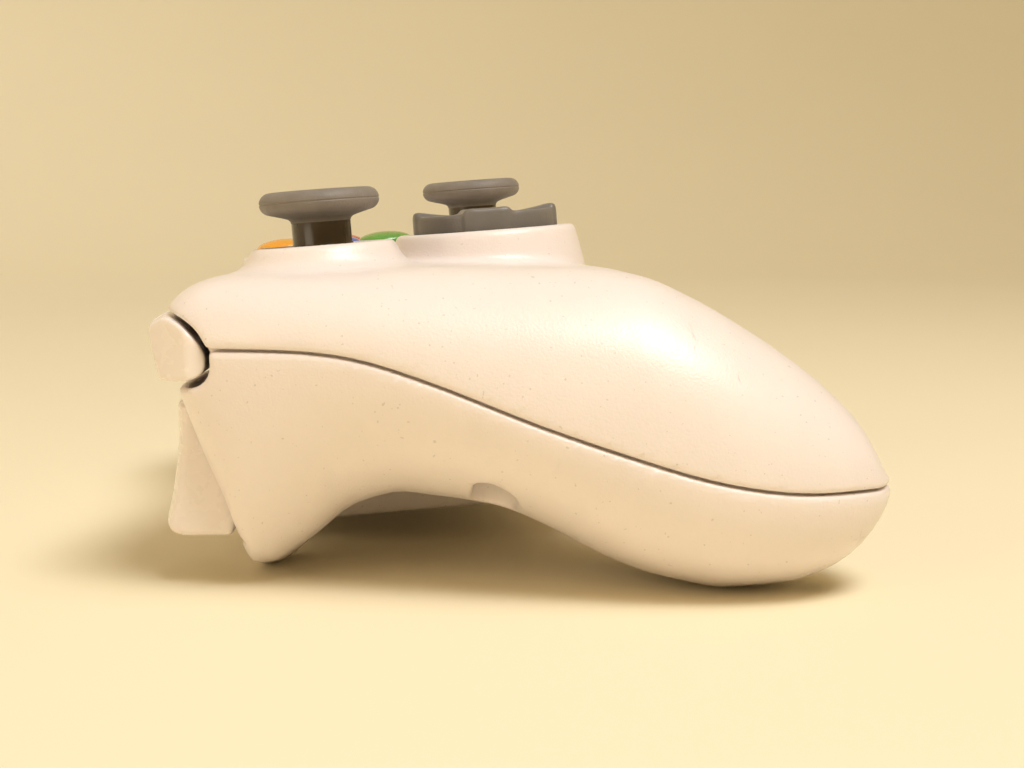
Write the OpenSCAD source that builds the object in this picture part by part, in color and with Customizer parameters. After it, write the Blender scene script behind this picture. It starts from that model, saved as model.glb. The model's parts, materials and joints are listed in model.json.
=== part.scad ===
// Two-handed wireless gamepad, as an assembly of its separate pieces.
// X is to the player's right, Y is forward to the bumpers, Z is up from the table.
// The origin is on the table, under the middle of the pad.

/* [Shells] */
// Wall thickness of both shells
wall = 2; // [1.8:0.1:2.2]
// Width of the groove between the shells
seam_gap = 0.5; // [0.3:0.1:0.7]
// Tilt of the control face, higher at the player's side
face_tilt = 4.3; // [4.2:0.05:4.4]
// Height of the pod rims above the table, at mid length
rim_height = 51.75; // [51.6:0.05:51.9]

/* [Thumbsticks] */
// Diameter of a stick cap
cap_d = 18.2; // [17.4:0.1:18.6]
// Height of the left stick's cap above its pod rim
left_cap_rise = 8.2; // [8:0.1:9]
// Height of the right stick's cap above its pod rim
right_cap_rise = 9; // [8.4:0.1:9.4]
// Diameter of a stick's stem
stem_d = 9; // [8.6:0.1:9.2]
// Distance of the left stick from the middle
left_stick_x = 39; // [38.5:0.1:39.5]
// Forward position of the left stick
left_stick_y = 29.2; // [29:0.1:29.6]
// Distance of the right stick and of the D-pad from the middle
inner_pod_x = 20; // [19.8:0.1:20.2]
// Forward position of the right stick and of the D-pad
inner_pod_y = 3.5; // [3.3:0.1:3.7]

/* [Buttons] */
// Length of the D-pad's cross
dpad_span = 23.5; // [23:0.1:23.8]
// Width of a D-pad arm
dpad_arm = 7.7; // [7:0.1:8.4]
// Diameter of a face button
button_d = 11; // [10.6:0.1:11.1]
// Distance of each face button from the middle of its group
button_ring = 10; // [9.8:0.1:10.2]
// Diameter of the guide button
guide_d = 17; // [16.6:0.1:17.4]
// Diameter of the back and start buttons
menu_d = 6.5; // [6:0.1:6.8]

/* [Triggers] */
// Width of a trigger
trigger_w = 19; // [18:0.5:19]
// Distance of a trigger's middle from the pad's middle
trigger_x = 44; // [43.8:0.1:44.2]
// Radius of the trigger pins
pin_r = 1.25; // [1.1:0.05:1.3]
// Radial running clearance of pins and shafts
fit = 0.05; // [0.03:0.01:0.08]

/* [Battery pack] */
// Radius of one cell
cell_r = 7.1; // [6.9:0.1:7.1]
// Length of one cell
cell_l = 49.5; // [48.5:0.5:50]
// Width of the pack below the shell
pack_w = 40; // [39:0.5:40]

/* [Hidden] */
$fn = 48;

white = "#f7efe6";
shade_white = "#efe4d8";
grey = "#8b7f6d";
dark = "#3a332a";
steel = "#b9bcc0";
green_board = "#2f6b46";
face_slope = tan(face_tilt);
land = 0.4;

// Plan outline of the right half as matching points: front and outer side, then rear and inner side.
FRONT = [
    [0, 43.5], [13, 44.5], [26, 48.6], [39, 52.2], [50, 53], [58.5, 49.8], [63.5, 41.5],
    [67, 28], [70.5, 12], [74, -6], [76.5, -24], [75, -39], [69.4, -48.6], [61.8, -52.7]
];
REAR = [
    [0, -19], [9, -19], [17, -19.8], [24, -22], [30, -26], [34.5, -30.5], [38, -35],
    [41, -39], [43.8, -42.6], [46.6, -45.8], [49.6, -48.8], [53, -51.2], [56.5, -52.5], [59.8, -52.7]
];
// Heights along Y: each pair is a forward position and the height there.
CROWN = [
    [-52, 21], [-49, 27.3], [-45, 30.6], [-39, 34], [-32, 37.8], [-25, 41.6], [-17.5, 44.9], [-10, 46.2],
    [5, 46.5], [15, 46.4], [41, 45.2], [54, 43.8]
];
SEAM = [
    [-55, 15.1], [-46, 15.8], [-36, 16.2], [-27.5, 17.4], [-19.5, 19.4], [-2.5, 24.9], [13.6, 31], [24, 34.1],
    [34, 35.1], [54, 34.9]
];
GRIP = [
    [-55, 3], [-45, 0.6], [-35, -0.2], [-29, -0.2], [-18, 2], [-11, 4.7], [-4, 8.3], [2, 10.8], [7, 11.8],
    [15, 12.6]
];
HORN = [
    [15, 12.8], [19, 12.6], [25.4, 9.7], [30.2, 4.9], [35.6, 0.4], [37.5, -0.2], [39.4, -0.2], [40.4, 1.8],
    [41.6, 4.8], [43, 9.5], [46, 19.5]
];
NOSE = [[38, -6], [42, 9], [46, 19.5], [48.9, 26.9], [50.5, 30], [54, 33.6]];
// How much of the horn there is across the pad: pairs of distance from the middle and share.
HORN_SPAN = [[24, 0], [31, 1], [36, 1], [45, 0.85], [55, 0.67], [61, 0.4], [68, 0]];
// Corner radii of the sections along Y, above and below the seam.
TOP_RADIUS = [[-55, 19], [-30, 19], [10, 17], [35, 12], [50, 9]];
BELLY_RADIUS = [[-30, 19], [0, 21], [20, 22], [35, 16], [48, 6]];
BELLY_W = -39.4;

rib_count = 19;
row_count = 18;
plan_last = len(FRONT) - 1;

function mix(a, b, t) = a + (b - a) * t;
function clamp01(t) = max(0, min(1, t));
function ease(a, b, x) = let (t = clamp01((x - a) / (b - a))) t * t * (3 - 2 * t);
function knot(table, x, i = 0) = i >= len(table) - 2 || x < table[i + 1][0] ? i : knot(table, x, i + 1);
function knot_slope(table, i) =
    let (a = table[max(i - 1, 0)], b = table[min(i + 1, len(table) - 1)]) (b[1] - a[1]) / (b[0] - a[0]);
function curve(table, x) =
    let (i = knot(table, x), p = table[i], q = table[i + 1], h = q[0] - p[0], t = clamp01((x - p[0]) / h))
    (2 * t ^ 3 - 3 * t ^ 2 + 1) * p[1] + (t ^ 3 - 2 * t ^ 2 + t) * h * knot_slope(table, i)
    + (3 * t ^ 2 - 2 * t ^ 3) * q[1] + (t ^ 3 - t ^ 2) * h * knot_slope(table, i + 1);
// Smooth curve through plan points, mirrored about X = 0 at its start.
function plan_curve(points, u) =
    let (i = min(floor(u), plan_last - 1), t = u - i, b = points[i], c = points[i + 1],
         a = i == 0 ? [-points[1][0], points[1][1]] : points[i - 1], d = points[min(i + 2, plan_last)])
    0.5 * (2 * b + (c - a) * t + (2 * a - 5 * b + 4 * c - d) * t ^ 2 + (3 * b - a - 3 * c + d) * t ^ 3);
HALF_OUTLINE = concat(
    [for (k = [0:2 * plan_last]) plan_curve(FRONT, k / 2)],
    [for (k = [2 * plan_last:-1:0]) plan_curve(REAR, k / 2)]);
function segment_distance(p, a, b) =
    let (ab = b - a, t = clamp01((p - a) * ab / (ab * ab))) norm(p - a - ab * t);
// Distance from a plan point to the outline.
function edge_distance(x, y) =
    min([for (k = [0:len(HALF_OUTLINE) - 2])
        segment_distance([abs(x), y], HALF_OUTLINE[k], HALF_OUTLINE[k + 1])]);
function dome(t) = sqrt(max(0, 1 - (1 - clamp01(t)) ^ 2));
function seam_z(x, y) = mix(32.5, curve(SEAM, y), ease(14, 46, abs(x)));
function belly_z(y) = rim_height + BELLY_W / cos(face_tilt) - face_slope * y;
function under_z(x, y) =
    let (base = mix(belly_z(y), curve(GRIP, y), ease(24, 42, abs(x))),
         inside_horn = y > 15 ? curve(HORN_SPAN, abs(x)) : 0)
    max(0, mix(base, curve(HORN, y), inside_horn), curve(NOSE, y));
// Outer surfaces, or the inner ones when the wall is given as an inset.
function top_z(x, y, inset) =
    let (s = seam_z(x, y) + land, d = edge_distance(x, y) - inset, r = curve(TOP_RADIUS, y) - inset)
    s + (curve(CROWN, y) - inset - s) * dome(d / r);
function bottom_z(x, y, inset) =
    let (s = seam_z(x, y) - land, d = edge_distance(x, y) - inset, r = curve(BELLY_RADIUS, y) - inset)
    s + (max(under_z(x, y) + inset, under_z(x, y + inset)) - s) * dome(d / r);

// Plan point of rib i, from -rib_count to rib_count, and row j, with both edges moved in by the inset.
function rib_edges(i, inset) =
    let (side = i < 0 ? -1 : 1, u = abs(i) / rib_count * (plan_last - (inset > 0 ? 0.9 : 0)),
         f = plan_curve(FRONT, u), g = plan_curve(REAR, u), e = 0.05,
         df = plan_curve(FRONT, min(u + e, plan_last)) - plan_curve(FRONT, max(u - e, 0)),
         dg = plan_curve(REAR, min(u + e, plan_last)) - plan_curve(REAR, max(u - e, 0)),
         nf = u == 0 ? [0, -1] : [df[1], -df[0]] / norm(df),
         ng = u == 0 ? [0, 1] : [-dg[1], dg[0]] / norm(dg))
    [for (p = [f + inset * nf, g + inset * ng]) [side * p[0], p[1]]];
function row_share(j) = (1 - cos(180 * j / row_count)) / 2;

function raised(face, by) = [for (v = face) v + by];

// Solid between the seam and the top or bottom surface. seam_shift moves its flat side along Z.
module half_body(is_top, inset, seam_shift) {
    columns = row_count + 1;
    ribs = 2 * rib_count + 1;
    edges = [for (i = [-rib_count:rib_count]) rib_edges(i, inset)];
    plan = [for (e = edges) for (j = [0:row_count]) mix(e[0], e[1], row_share(j))];
    outer = [for (p = plan) [p[0], p[1], is_top ? top_z(p[0], p[1], inset) : bottom_z(p[0], p[1], inset)]];
    inner = [for (p = plan) [p[0], p[1], seam_z(p[0], p[1]) + seam_shift]];
    count = len(plan);
    quads = [for (i = [0:ribs - 2]) for (j = [0:row_count - 1]) i * columns + j];
    upper = is_top ? 0 : count;
    lower = is_top ? count : 0;
    rim = concat(
        [for (i = [0:ribs - 1]) i * columns],
        [for (j = [1:row_count]) (ribs - 1) * columns + j],
        [for (i = [ribs - 2:-1:0]) i * columns + row_count],
        [for (j = [row_count - 1:-1:1]) j]);
    loops = len(rim);
    polyhedron(concat(outer, inner), concat(
        [for (q = quads) raised([q, q + columns, q + columns + 1], upper)],
        [for (q = quads) raised([q, q + columns + 1, q + 1], upper)],
        [for (q = quads) raised([q, q + columns + 1, q + columns], lower)],
        [for (q = quads) raised([q, q + 1, q + columns + 1], lower)],
        [for (k = [0:loops - 1]) [upper + rim[k], lower + rim[k], lower + rim[(k + 1) % loops]]],
        [for (k = [0:loops - 1]) [upper + rim[k], lower + rim[(k + 1) % loops], upper + rim[(k + 1) % loops]]]),
        convexity = 10);
}
// Closed band along the outline, between two insets, from z_low to z_high about the seam.
module seam_band(near, far, z_low, z_high) {
    corners = [[near, z_low], [near, z_high], [far, z_high], [far, z_low]];
    points = [for (c = corners) let (edges = [for (i = [-rib_count:rib_count]) rib_edges(i, c[0])])
        for (p = concat([for (e = edges) e[0]], [for (k = [2 * rib_count:-1:0]) edges[k][1]]))
            [p[0], p[1], seam_z(p[0], p[1]) + c[1]]];
    n = 4 * rib_count + 2;
    polyhedron(points, concat(
        [for (s = [0:3]) for (k = [0:n - 1]) let (next = (k + 1) % n, beside = (s + 1) % 4 * n)
            [s * n + k, s * n + next, beside + k]],
        [for (s = [0:3]) for (k = [0:n - 1]) let (next = (k + 1) % n, beside = (s + 1) % 4 * n)
            [s * n + next, beside + next, beside + k]]),
        convexity = 10);
}

// Places its children in the tilted control face: origin on the rim plane, Z along the face's normal.
module on_face(x, y) {
    translate([x, y, rim_height - face_slope * y]) rotate([-face_tilt, 0, 0]) children();
}
module both_sides() {
    children();
    mirror([1, 0, 0]) children();
}
// Extrudes a Y-Z outline along X, from x_low over the given width.
module slab(x_low, width, outline) {
    translate([x_low, 0, 0]) rotate([90, 0, 90]) linear_extrude(width) polygon(outline);
}
module block(low, high) {
    translate(low) cube(high - low);
}
module post(r, low, high) {
    translate([0, 0, low]) cylinder(h = high - low, r = r);
}
module along_x(r, low, high) {
    rotate([0, 90, 0]) post(r, low, high);
}
module along_y(r, low, high) {
    rotate([-90, 0, 0]) post(r, low, high);
}

// ---- Places of the controls and fixings ----
stick_pivot_w = -9.5;
board_top = -17.5;
board_bottom = -19.1;
board_front = 38.5;
pod_r = 10.75;
pod_draft = 0.425;
pod_depth = 9;
pod_wall = 1.6;
collar = 2;
stick_hole_r = 9.5;
dpad_pod_r = 14.65;
dpad_hole_r = 12.75;
stick_pod_cut = 10.3;
dpad_draft = 0.2;
face_x = 39.5;
face_y = 30.5;
island_w = -2.6;
island_r = 18;
guide_y = 25.5;
menu_x = 14.5;
menu_y = 24;
ring_r = 10.5;
motor_x = 57;
motor_y = -22;
motor_r = 10.5;
// Screws of the right half: X, Y and the height of the shelf under the head.
SCREWS = [[58, 4.3, 20], [60, -41, 9], [25, 19.5, 17]];
shelf = 2;
well_r = 3.1;
boss_r = 4.6;
top_boss_r = 3.6;
shank_r = 1.3;
head_r = 2.6;
pack_y = 15;
bay_u = 18.6;
bay_rear = -25.6;
bay_top = -27;
jack_z = 30.6;
jack_bore_r = 1.3;
sync_x = 9.5;
sync_z = 34.5;
trigger_y = 43;
trigger_z = 27.5;
pocket_rear = 43.35;
hinge_x = 19.5;
hinge_y = 44;
pin_fit_r = pin_r + fit;

module pod(x, y, r, draft, inset, top, depth) {
    on_face(x, y) translate([0, 0, -depth])
        cylinder(h = depth - top, r1 = r + draft * depth - inset, r2 = r + draft * top - inset);
}
module pods(inset, top, stick_depth) {
    pod(-left_stick_x, left_stick_y, pod_r, pod_draft, inset, top, stick_depth);
    pod(inner_pod_x, inner_pod_y, pod_r, pod_draft, inset, top, stick_depth);
    pod(-inner_pod_x, inner_pod_y, dpad_pod_r, dpad_draft, inset, top, pod_depth);
}
// Pockets that the bumpers move in, each with a deeper end for its hinge.
module bumper_pockets() {
    y = pocket_rear;
    both_sides() {
        hull() slab(22, 40.6, [[y, 30.4], [y + 1.2, 29.3], [62, 29.3], [62, 40.3], [y + 5, 40.3], [y, 35.2]]);
        hull() block([16.5, 41.2, 28.6], [23, 62, 40.15]);
    }
}
// Openings at the front and rear that both shells share.
module shell_openings() {
    bumper_pockets();
    block([-4.8, 38, 31], [4.8, 50, 36.2]);
    translate([sync_x, 0, sync_z]) along_y(3, 39, 50);
    translate([0, 0, jack_z]) along_y(2.6, -22, -14);
    for (x = [-6.5, 6.5]) block([x - 1.1, -22, jack_z - 0.6], [x + 1.1, -15, jack_z + 0.6]);
}

// ---- Shells ----
module top_shell() {
    $fn = 32;
    color(white) difference() {
        union() {
            difference() {
                union() {
                    half_body(true, 0, seam_gap / 2);
                    pods(0, 0, pod_depth);
                    on_face(face_x, face_y) translate([0, 0, -8])
                        cylinder(h = 8 + island_w, r1 = 19.5, r2 = island_r);
                }
                half_body(true, wall, -1.3);
                pods(pod_wall, collar, stick_pod_cut);
                on_face(face_x, face_y) post(17, -9, island_w - 2);
            }
            intersection() {
                half_body(true, 1, -20);
                both_sides() for (s = SCREWS)
                    hull() translate([s[0], s[1], 0]) post(top_boss_r, s[2] + shelf, 60);
            }
        }
        shell_openings();
        on_face(-left_stick_x, left_stick_y) post(stick_hole_r, -pod_depth, 1);
        on_face(inner_pod_x, inner_pod_y) post(stick_hole_r, -pod_depth, 1);
        on_face(-inner_pod_x, inner_pod_y) post(dpad_hole_r, -pod_depth, 1);
        for (a = [0:90:270]) on_face(face_x, face_y)
            translate(button_ring * [cos(a), sin(a), 0]) post(button_d / 2 + 0.25, -12, 1);
        on_face(0, guide_y) post(ring_r + 0.1, -12, 1);
        for (x = [-menu_x, menu_x]) on_face(x, menu_y) post(menu_d / 2 + 0.25, -12, 1);
        both_sides() for (s = SCREWS) translate([s[0], s[1], 0]) post(shank_r + 0.05, 0, s[2] + 12.1);
    }
}
module bottom_shell() {
    $fn = 32;
    color(white) difference() {
        union() {
            difference() {
                half_body(false, 0, -seam_gap / 2);
                half_body(false, wall, 1.2);
            }
            seam_band(wall - 0.3, wall + 0.9, -3, -1);
            seam_band(wall + 0.15, wall + 0.9, -1.2, 1.5);
            intersection() {
                half_body(false, 1, -2);
                union() {
                    on_face(0, pack_y)
                        block([-bay_u - 1.6, bay_rear - 1.6, -42], [bay_u + 1.6, 31, bay_top + 1.6]);
                    both_sides() for (s = SCREWS)
                        hull() translate([s[0], s[1], 0]) post(boss_r, 0, s[2] + shelf);
                    both_sides() translate([motor_x, motor_y, 0]) post(motor_r + 1.6, 0, 20);
                }
            }
        }
        shell_openings();
        on_face(0, pack_y) block([-bay_u, bay_rear, -60], [bay_u, 45, bay_top]);
        for (u = [-10, 10]) on_face(u, pack_y) block([-2, -24, -30], [2, -20, -20]);
        both_sides() {
            for (s = SCREWS) translate([s[0], s[1], 0]) {
                post(well_r, -2, s[2]);
                post(shank_r + 0.1, 0, 40);
            }
            translate([motor_x, motor_y, 0]) {
                post(motor_r, 16, 40);
                post(8, 5, 14.5);
                post(4, 5, 20);
            }
            block([trigger_x - trigger_w / 2 - 1, 38, 6], [trigger_x + trigger_w / 2 + 1, 65, 27.6]);
        }
    }
}
module shoulder_bridge() {
    color(shade_white) difference() {
        union() {
            translate([0, 0, 29]) linear_extrude(10.6) polygon([
                [-21, 50.6], [-13, 48.4], [0, 47.4], [13, 48.4], [21, 50.6],
                [21, 47.6], [13, 45], [0, 44], [-13, 45], [-21, 47.6]]);
            both_sides() {
                block([18, 42.6, 29], [21, 48, 30.2]);
                block([18, 42.6, 38.4], [21, 48, 39.6]);
                translate([hinge_x, hinge_y, 0]) post(1, 30, 38.6);
            }
        }
        translate([sync_x, 0, sync_z]) along_y(2.1, 40, 55);
        block([-3.8, 40, 32], [3.8, 55, 34.8]);
    }
}

// ---- Bumpers and triggers ----
// Stations of a bumper: X, rear Y and front Y.
BUMPER = [[22, 44.5, 51.2], [30, 44.9, 53.4], [44, 45.6, 54.5], [56, 45, 53.2], [60.6, 45.5, 49.4]];
module bumper_section(s) {
    slab(s[0], 0.01, [
        [s[1], 31.4], [s[1] + 2, 30], [s[2] - 1.4, 30.4], [s[2] - 0.2, 35.6],
        [s[2], 37.9], [(s[1] + 2 * s[2]) / 3, 39.6], [s[1], 34.8]]);
}
module bumper() {
    difference() {
        union() {
            for (k = [0:len(BUMPER) - 2]) hull() {
                bumper_section(BUMPER[k]);
                bumper_section(BUMPER[k + 1]);
            }
            block([hinge_x + 1, hinge_y - 0.8, 31.4], [24, hinge_y + 1.6, 36]);
            translate([hinge_x, hinge_y, 0]) post(2.2, 30.6, 38);
        }
        translate([hinge_x, hinge_y, 0]) post(1 + fit, 30, 39);
    }
}
module left_bumper() { color(shade_white) mirror([1, 0, 0]) bumper(); }
module right_bumper() { color(shade_white) bumper(); }
module bumper_switches() {
    color(dark) both_sides() {
        block([51, 38.6, 31.6], [57, 43, 36.2]);
        translate([54, 0, 34]) along_y(0.9, 43, 44.2);
    }
}

// Side outline of a trigger, front curve first, then the bottom lip and the rear edge.
TRIGGER = [
    [45.3, 26.9], [49.1, 26.6], [48.9, 22], [49.3, 18], [50.1, 12.6], [51, 8.8], [50.5, 7.8], [48.8, 7.3],
    [43.2, 7.3], [41.6, 10], [40.5, 18], [40.4, 27.5], [43, 30.1]
];
trigger_wall = 1.5;
module trigger() {
    half = trigger_w / 2;
    difference() {
        union() {
            slab(-half, trigger_w, TRIGGER);
            translate([0, trigger_y, trigger_z]) along_x(2.6, -half, half);
        }
        slab(-half + trigger_wall, trigger_w - 2 * trigger_wall, [
            [47.5, 25], [47.3, 22], [47.7, 18], [48.5, 12.8], [49, 9.2], [30, 9.2], [30, 25]]);
        block([-0.8, 38, 24.8], [0.8, 43, 26]);
        translate([0, trigger_y, trigger_z]) along_x(3.4, -6, 6);
        translate([0, trigger_y, trigger_z]) along_x(pin_fit_r, -20, 20);
    }
}
module left_trigger() { color(shade_white) translate([-trigger_x, 0, 0]) trigger(); }
module right_trigger() { color(shade_white) translate([trigger_x, 0, 0]) trigger(); }
module trigger_pins() {
    color(steel) for (x = [-trigger_x, trigger_x])
        translate([x, trigger_y, trigger_z]) along_x(pin_r, -11.4, 11.4);
}
module trigger_springs() {
    color(steel) for (x = [-trigger_x, trigger_x]) translate([x, trigger_y, trigger_z]) {
        for (k = [-2:2]) translate([0.8 * k, 0, 0]) rotate([0, 90, 0])
            rotate_extrude() translate([2.1, 0]) circle(r = 0.42);
        translate([0, 0, -2.1]) along_y(0.4, -6.8, 0);
    }
}
module trigger_brackets() {
    color(dark) for (x = [-trigger_x, trigger_x]) translate([x, 0, 0]) difference() {
        union() {
            block([-11.4, 35, 16], [11.4, 36.2, 29.3]);
            both_sides() block([10.1, 35.5, 24.5], [11.4, 44.9, 29.3]);
        }
        translate([0, trigger_y, trigger_z]) along_x(pin_r, -20, 20);
    }
}
module trigger_sensors() {
    color(green_board) for (x = [-trigger_x, trigger_x]) block([x - 4, 31.5, 20], [x + 4, 35, 29]);
}

// ---- Thumbsticks, about the pivot ----
module at_left_stick() { on_face(-left_stick_x, left_stick_y) translate([0, 0, stick_pivot_w]) children(); }
module at_right_stick() { on_face(inner_pod_x, inner_pod_y) translate([0, 0, stick_pivot_w]) children(); }
dome_outer = 10;
dome_inner = 9.2;
dome_reach = 58;
cap_r = cap_d / 2;
cap_edge = 2.3;
boss_bottom = 6.2;
cap_skin = 1.6;
shaft_r = 1.2;
function cap_top(rise) = rise - stick_pivot_w;
module stick_cap(rise) {
    stem_r = stem_d / 2;
    top = cap_top(rise);
    color(grey) rotate_extrude() polygon(concat(
        [[shaft_r, boss_bottom], [2.6, boss_bottom]],
        [for (a = [16:7:dome_reach]) dome_inner * [sin(a), cos(a)]],
        [for (k = [0:5]) let (a = mix(dome_reach, asin(stem_r / dome_outer), k / 5))
            dome_outer * [sin(a), cos(a)]],
        [[stem_r, top - 5], [stem_r + 0.6, top - 4.55]],
        [for (a = [-80:20:80]) [cap_r - 1.9 + 1.9 * cos(a), top - cap_edge + cap_edge * sin(a)]],
        [[cap_r - 3, top - 0.45], [cap_r - 4.5, top - 0.8], [0, top - 1]],
        [[0, top - cap_skin], [shaft_r, top - cap_skin]]));
}
module stick_shaft(rise) { color(steel) post(shaft_r, -3, cap_top(rise) - cap_skin); }
module octagon(half, corner) {
    polygon([for (a = [0:90:270]) for (p = [[half, -corner], [half, corner]])
        [p[0] * cos(a) - p[1] * sin(a), p[0] * sin(a) + p[1] * cos(a)]]);
}
module stick_frame() {
    color(dark) difference() {
        translate([0, 0, -8]) linear_extrude(11) octagon(7.5, 3.3);
        translate([0, 0, -7]) linear_extrude(12) octagon(6.5, 2.9);
        along_x(shaft_r + fit, -9, 9);
        along_y(shaft_r + fit, -9, 9);
    }
}
module stick_arch() {
    color(steel) difference() {
        union() {
            intersection() {
                along_x(5.3, -2.2, 2.2);
                block([-3, -6, 0], [3, 6, 6]);
            }
            along_y(1.9, -5.3, 5.3);
            along_y(shaft_r, -9.8, 7.3);
        }
        along_x(4.3, -4, 4);
        block([-1.4, -3.4, 2], [1.4, 3.4, 7]);
    }
}
module stick_rocker() {
    color(steel) difference() {
        union() {
            block([-5.5, -3.2, -1.8], [5.5, 3.2, 1.8]);
            along_x(shaft_r, -9.8, 7.3);
        }
        block([-3.7, -2.1, -3], [3.7, 2.1, 3]);
        along_y(0.8 + fit, -4, 4);
    }
}
module stick_pivot() {
    color(dark) difference() {
        union() {
            block([-2.5, -2, -1.6], [2.5, 2, 1.6]);
            along_y(0.8, -3.1, 3.1);
        }
        post(shaft_r + fit, -3, 3);
    }
}
module stick_sensors() {
    color(green_board) difference() {
        union() {
            block([-10.3, -3.4, -8], [-7.7, 3.4, 1.5]);
            block([-3.4, -10.3, -8], [3.4, -7.7, 1.5]);
        }
        along_x(shaft_r + fit, -9.9, 0);
        along_y(shaft_r + fit, -9.9, 0);
    }
}
module left_stick_cap() { at_left_stick() stick_cap(left_cap_rise); }
module left_stick_shaft() { at_left_stick() stick_shaft(left_cap_rise); }
module left_stick_frame() { at_left_stick() stick_frame(); }
module left_stick_arch() { at_left_stick() stick_arch(); }
module left_stick_rocker() { at_left_stick() stick_rocker(); }
module left_stick_pivot() { at_left_stick() stick_pivot(); }
module left_stick_sensors() { at_left_stick() stick_sensors(); }
module right_stick_cap() { at_right_stick() stick_cap(right_cap_rise); }
module right_stick_shaft() { at_right_stick() stick_shaft(right_cap_rise); }
module right_stick_frame() { at_right_stick() stick_frame(); }
module right_stick_arch() { at_right_stick() stick_arch(); }
module right_stick_rocker() { at_right_stick() stick_rocker(); }
module right_stick_pivot() { at_right_stick() stick_pivot(); }
module right_stick_sensors() { at_right_stick() stick_sensors(); }

// ---- D-pad ----
module at_dpad() { on_face(-inner_pod_x, inner_pod_y) children(); }
dpad_pivot_w = -7;
dpad_top = 3.1;
dpad_dish_r = 50;
dpad_reach = 12;
dpad_pin_r = 0.8;
module dpad_disc() {
    color(grey) at_dpad() {
        difference() {
            union() {
                post(11.6, -2.2, dpad_top - 1.7);
                for (a = [0, 90]) rotate([0, 0, a]) intersection() {
                    block([-dpad_span / 2, -dpad_arm / 2, -2.2], [dpad_span / 2, dpad_arm / 2, dpad_top]);
                    post(dpad_reach, -3, dpad_top + 1);
                }
            }
            translate([0, 0, dpad_top - 1.4 + dpad_dish_r]) sphere(r = dpad_dish_r);
        }
        post(2.4, dpad_pivot_w - 1, -2);
        translate([0, 0, dpad_pivot_w]) along_y(dpad_pin_r, -6.4, 6.4);
    }
}
module dpad_carrier() {
    color(dark) at_dpad() translate([0, 0, dpad_pivot_w]) difference() {
        union() {
            post(7, -1.1, 1.1);
            along_x(dpad_pin_r, -10.2, 10.2);
        }
        post(5.2, -2, 2);
        along_y(dpad_pin_r + fit, -8, 8);
    }
}
module dpad_base() {
    color(dark) at_dpad() difference() {
        post(10.7, board_top, -5);
        post(9.4, board_top - 1, -6);
        post(8.2, -7, -4);
        translate([0, 0, dpad_pivot_w]) along_x(dpad_pin_r + fit, -10.4, 10.4);
    }
}
module dpad_membrane() {
    color("#c9c4bb") at_dpad() {
        difference() {
            post(10.8, -5, -4.4);
            post(8.4, -6, -4);
        }
        for (a = [0:90:270]) rotate([0, 0, a]) translate([9.6, 0, 0]) post(1.2, -4.4, -3.4);
    }
}

// ---- Push buttons ----
module push_button(r, top, crown, flange_w, plunger_w) {
    rotate_extrude() polygon(concat(
        [[0, plunger_w], [min(3, r - 1), plunger_w], [min(3, r - 1), flange_w - 1], [r + 0.9, flange_w - 1]],
        [[r + 0.9, flange_w], [r, flange_w]],
        [for (k = [0:5]) let (a = 18 * k) [r * cos(a * 0.98), top - crown + crown * sin(a)]],
        [[0, top]]));
}
module face_button(a) {
    on_face(face_x, face_y) translate(button_ring * [cos(a), sin(a), 0])
        push_button(button_d / 2, 0.5, 1.9, -6.2, -14.3);
}
module button_amber() { color("#f5b13a") face_button(90); }
module button_red() { color("#cf4436") face_button(0); }
module button_blue() { color("#3f6fc4") face_button(180); }
module button_green() { color("#6fae3c") face_button(270); }
module face_membrane() {
    color("#c9c4bb") on_face(face_x, face_y) {
        post(14, board_top, -16.7);
        for (a = [0:90:270]) translate(button_ring * [cos(a), sin(a), 0]) post(3.4, -16.7, -16.1);
    }
}
module menu_button() { push_button(menu_d / 2, -2.9, 0.9, -6.4, -14.9); }
module back_button() { color(grey) on_face(-menu_x, menu_y) menu_button(); }
module start_button() { color(grey) on_face(menu_x, menu_y) menu_button(); }
module guide_button() { color("#d9d6d0") on_face(0, guide_y) push_button(guide_d / 2, -1.8, 1.6, -7.2, -15.2); }
module guide_ring() {
    color(steel) on_face(0, guide_y) difference() {
        post(ring_r, -6.3, -3);
        post(guide_d / 2 + 0.15, -8, 0);
    }
}
module menu_membrane() {
    color("#c9c4bb") for (p = [[-menu_x, menu_y], [0, guide_y], [menu_x, menu_y]]) on_face(p[0], p[1]) {
        post(4.4, board_top, -16.7);
        post(2.6, -16.7, -16);
    }
}
module sync_button() {
    color(shade_white) translate([sync_x, 0, sync_z]) {
        along_y(1.9, 43, 48.5);
        along_y(2.7, 42.8, 43.8);
    }
}

// ---- Inside ----
module main_board() {
    color(green_board) difference() {
        on_face(0, 0) translate([0, 0, board_bottom]) linear_extrude(board_top - board_bottom) polygon([
            [-56, 14], [-56, board_front + 1.2], [56, board_front + 1.2], [56, 14], [34, 14], [34, -12],
            [-34, -12], [-34, 14]]);
        both_sides() translate([25, 19.5, 0]) post(boss_r, 20, 50);
    }
}
module board_chips() {
    color(dark) on_face(0, 0) {
        block([-6, 8, board_top], [3, 17, board_top + 1.4]);
        block([-5, -6, board_top], [3, 5, board_top + 2]);
        for (x = [-28, 20]) block([x, 28, board_top], [x + 3, 35, board_top + 1]);
    }
}
module ring_leds() {
    color("#b9e08a") on_face(0, guide_y) for (a = [45:90:315]) rotate([0, 0, a])
        block([6, -0.8, board_top], [7.6, 0.8, board_top + 0.9]);
}
module charge_port() {
    color(steel) difference() {
        block([-4.2, 37, 31.7], [4.2, 43.8, 35.1]);
        block([-3.4, 38, 32.3], [3.4, 50, 34.5]);
    }
}
module headset_jack() {
    color(dark) translate([0, 0, jack_z]) difference() {
        union() {
            block([-4.2, -15.9, -2.6], [4.2, -5.5, 2.4]);
            along_y(2.4, -18.9, -15.5);
        }
        along_y(jack_bore_r, -20, -6.9);
    }
}
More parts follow.
